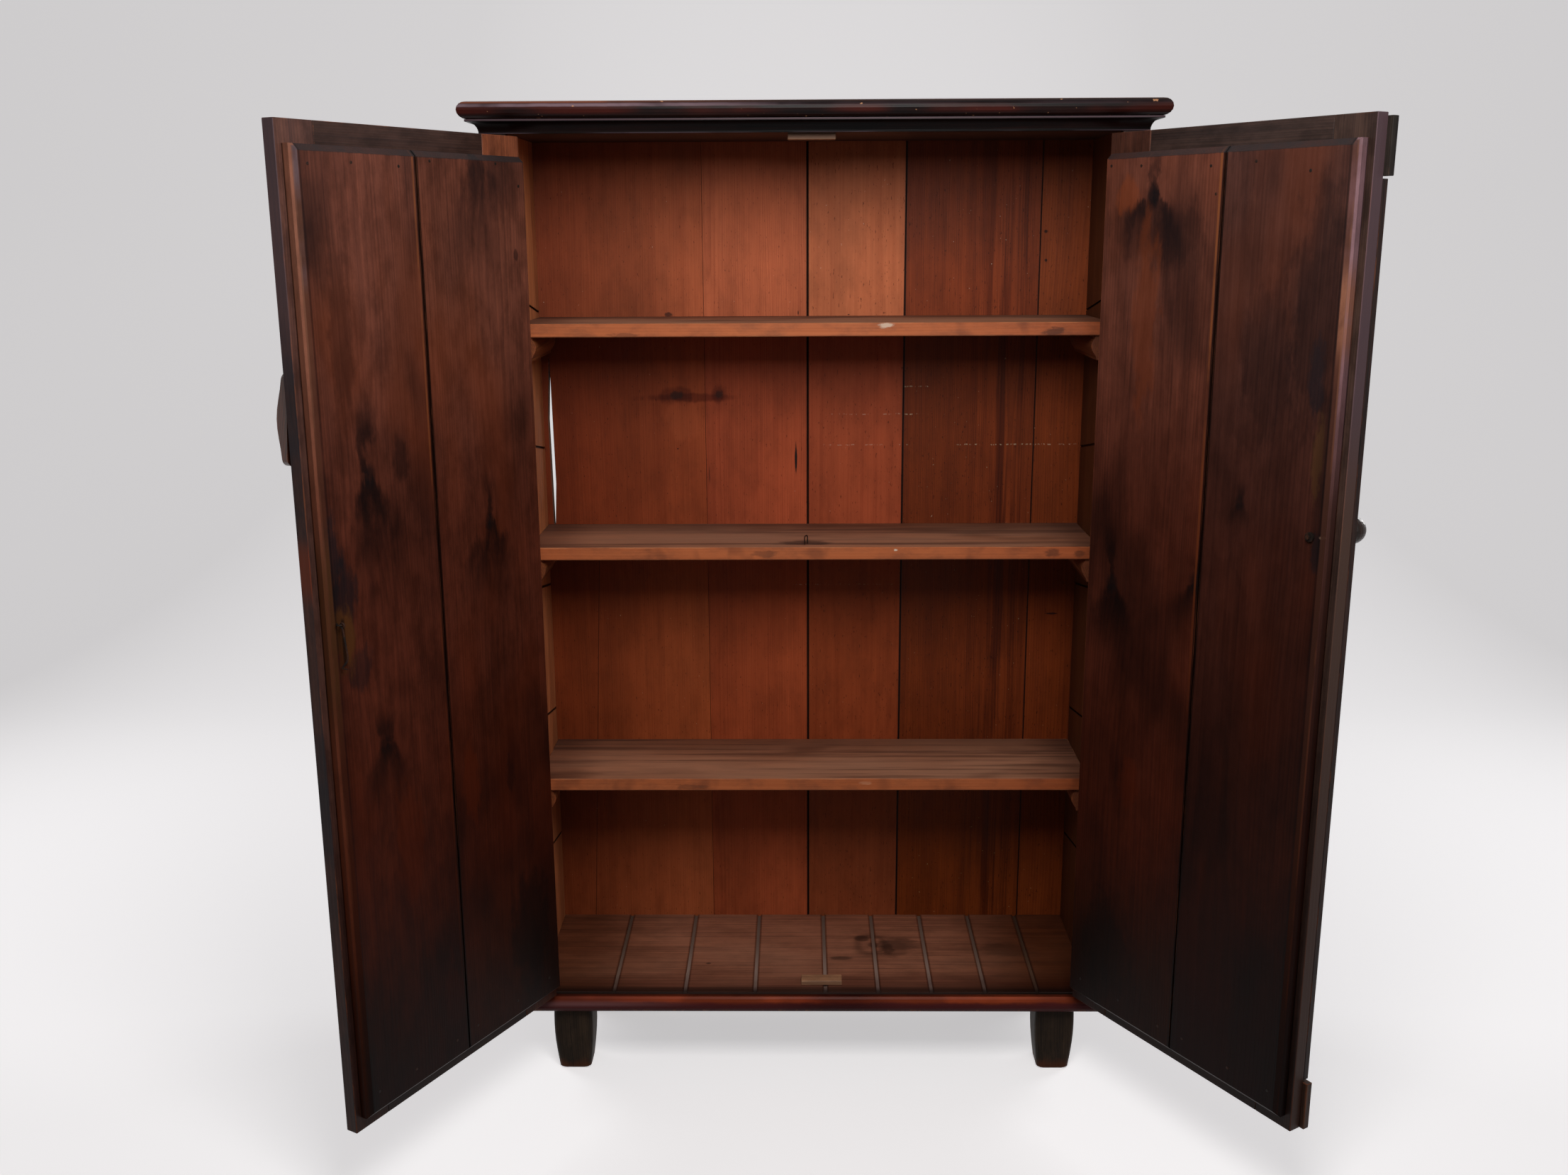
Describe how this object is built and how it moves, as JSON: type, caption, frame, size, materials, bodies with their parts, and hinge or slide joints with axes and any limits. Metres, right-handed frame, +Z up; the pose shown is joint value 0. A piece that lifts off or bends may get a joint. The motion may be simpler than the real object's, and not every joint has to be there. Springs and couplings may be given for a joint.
{
  "type": "two-door shelf cupboard",
  "caption": "Tall shallow stained pine cupboard with fixed shelves on moulded bearers, inset boarded doors standing open, moulded cornice, block feet, wooden knob, turn-button and hook.",
  "frame": {"origin": "middle of the bounding box on the floor, measured with both doors open as pictured", "axes": "+Z up, -Y out of the front towards the viewer, +X to the right as seen from the front"},
  "size_m": [1.4384, 0.7266, 1.61],
  "materials": {
    "interior_pine": "old oil-stained pine, satin",
    "shelf_pine": "dry worn pine, matt",
    "floor_pine": "dusty worn pine, matt",
    "carcass_dark_stain": "dark spirit stain, satin",
    "cornice_stain": "dark varnish, worn at the arrises, semi-gloss",
    "foot_stain": "near-black stain, scuffed",
    "block_pine": "unstained pine, matt",
    "door_frame_stain": "dark stain, satin",
    "door_lining_stain": "dark stain with black water marks, satin",
    "knob_and_button_wood": "turned hardwood, polished by hands",
    "old_iron": "old wrought iron, dull brown-black"
  },
  "bodies": {
    "carcass": {"back_board_1": "interior_pine", "back_board_2": "interior_pine", "back_board_3": "interior_pine", "back_board_4": "interior_pine", "back_board_5": "interior_pine", "back_left_foot": "foot_stain", "back_right_foot": "foot_stain", "base_nosing": "cornice_stain", "bottom_shelf": "shelf_pine", "bottom_shelf_left_bearer": "interior_pine", "bottom_shelf_right_bearer": "interior_pine", "cap_board": "cornice_stain", "ceiling_board": "interior_pine", "cornice_cove": "cornice_stain", "floor_panel": "floor_pine", "floor_stop_block": "block_pine", "front_left_foot": "foot_stain", "front_right_foot": "foot_stain", "left_bottom_hinge_frame_leaf": "old_iron", "left_front_stile": "carcass_dark_stain", "left_side": "interior_pine", "left_top_hinge_frame_leaf": "old_iron", "middle_shelf": "shelf_pine", "middle_shelf_left_bearer": "interior_pine", "middle_shelf_right_bearer": "interior_pine", "right_bottom_hinge_frame_leaf": "old_iron", "right_front_stile": "carcass_dark_stain", "right_side": "interior_pine", "right_top_hinge_frame_leaf": "old_iron", "shelf_staple": "old_iron", "top_front_rail": "carcass_dark_stain", "top_shelf": "shelf_pine", "top_shelf_left_bearer": "interior_pine", "top_shelf_right_bearer": "interior_pine", "top_stop_block": "block_pine"},
    "left_door": {"hook_screw_eye": "old_iron", "left_bottom_hinge_door_leaf": "old_iron", "left_door_bottom_rail": "door_frame_stain", "left_door_free_stile": "door_frame_stain", "left_door_hinge_stile": "door_frame_stain", "left_door_inner_board_1": "door_lining_stain", "left_door_inner_board_2": "door_lining_stain", "left_door_top_rail": "door_frame_stain", "left_top_hinge_door_leaf": "old_iron", "turn_button_screw": "old_iron"},
    "right_door": {"knob": "knob_and_button_wood", "knob_bolt": "old_iron", "meeting_strip_bottom": "door_frame_stain", "meeting_strip_main": "door_frame_stain", "meeting_strip_top": "door_frame_stain", "right_bottom_hinge_door_leaf": "old_iron", "right_door_bottom_rail": "door_frame_stain", "right_door_free_stile": "door_frame_stain", "right_door_hinge_stile": "door_frame_stain", "right_door_inner_board_1": "door_lining_stain", "right_door_inner_board_2": "door_lining_stain", "right_door_top_rail": "door_frame_stain", "right_top_hinge_door_leaf": "old_iron"},
    "turn_button": {"turn_button": "knob_and_button_wood"},
    "hook": {"hook": "old_iron"}
  },
  "joints": [
    {"name": "left_door_hinge", "type": "hinge", "parent": "carcass", "child": "left_door", "pos_m": [-0.47573, 0.04878, 0.859], "axis": [0, 0, 1], "range_deg": [-55.4, 119.6]},
    {"name": "right_door_hinge", "type": "hinge", "parent": "carcass", "child": "right_door", "pos_m": [0.44127, 0.04878, 0.859], "axis": [0, 0, 1], "range_deg": [-122.3, 52.7]},
    {"name": "turn_button_pivot", "type": "hinge", "parent": "left_door", "child": "turn_button", "pos_m": [-0.68495, -0.32863, 1.186], "axis": [0.8695, -0.4939, 0], "range_deg": [-90, 90]},
    {"name": "hook_pivot", "type": "hinge", "parent": "left_door", "child": "hook", "pos_m": [-0.64407, -0.35933, 0.9185], "axis": [-0.4939, -0.8695, 0], "range_deg": [0, 130]}
  ]
}
